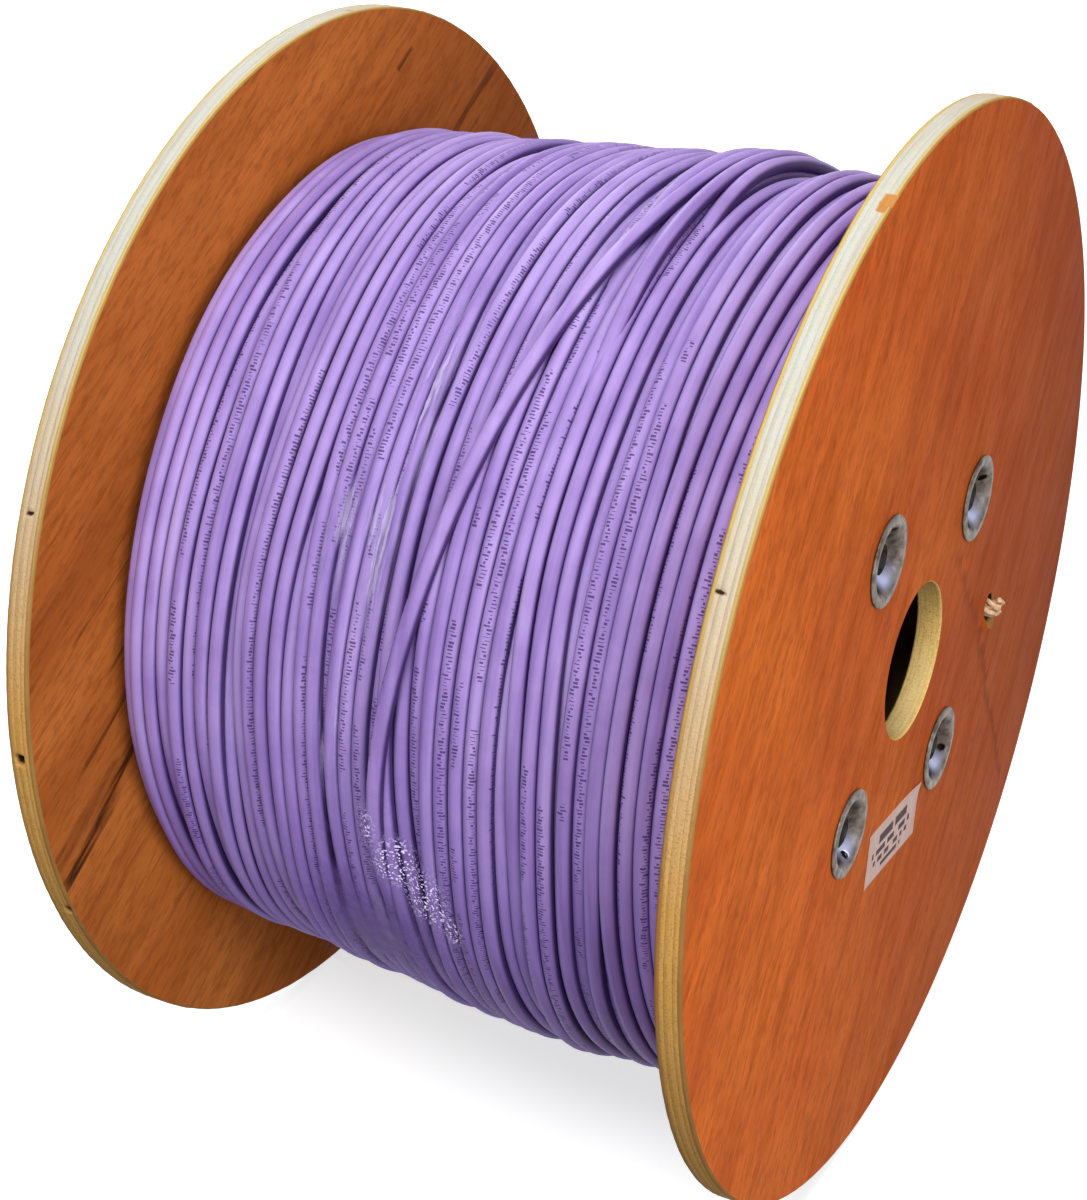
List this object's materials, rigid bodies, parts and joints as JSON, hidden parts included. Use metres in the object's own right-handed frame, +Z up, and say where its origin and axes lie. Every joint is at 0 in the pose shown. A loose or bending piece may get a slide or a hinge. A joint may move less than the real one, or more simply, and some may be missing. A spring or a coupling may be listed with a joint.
{
  "type": "cable reel",
  "caption": "Plywood cable reel standing on its rims: round flanges clamped on a hollow core by tie rods with dished washers, wound with violet data cable.",
  "frame": {"origin": "middle of the axle bore, half way between the flanges", "axes": "+X along the reel's axis towards the flange with the label, +Z up as the reel stands on its rims, -Y to the front"},
  "size_m": [0.2452, 0.38, 0.3799],
  "materials": {
    "plywood": "reddish rotary-cut veneer with a pale, layered edge",
    "board": "wound grey-brown board",
    "steel": "zinc plated",
    "cable_jacket": "satin violet sheath",
    "cable_pairs": "pale insulation, frayed",
    "clear_film": "clear wrinkled film",
    "paper": "matt label paper"
  },
  "bodies": {
    "root": {"near_flange": "plywood", "far_flange": "plywood", "core_tube": "board", "tie_rod_1": "steel", "tie_rod_2": "steel", "tie_rod_3": "steel", "tie_rod_4": "steel", "near_washer_1": "steel", "near_washer_2": "steel", "near_washer_3": "steel", "near_washer_4": "steel", "far_washer_1": "steel", "far_washer_2": "steel", "far_washer_3": "steel", "far_washer_4": "steel", "near_nut_1": "steel", "near_nut_2": "steel", "near_nut_3": "steel", "near_nut_4": "steel", "far_nut_1": "steel", "far_nut_2": "steel", "far_nut_3": "steel", "far_nut_4": "steel", "cable_winding": "cable_jacket", "cable_start": "cable_pairs", "film_band": "clear_film", "label": "paper"}
  },
  "joints": []
}
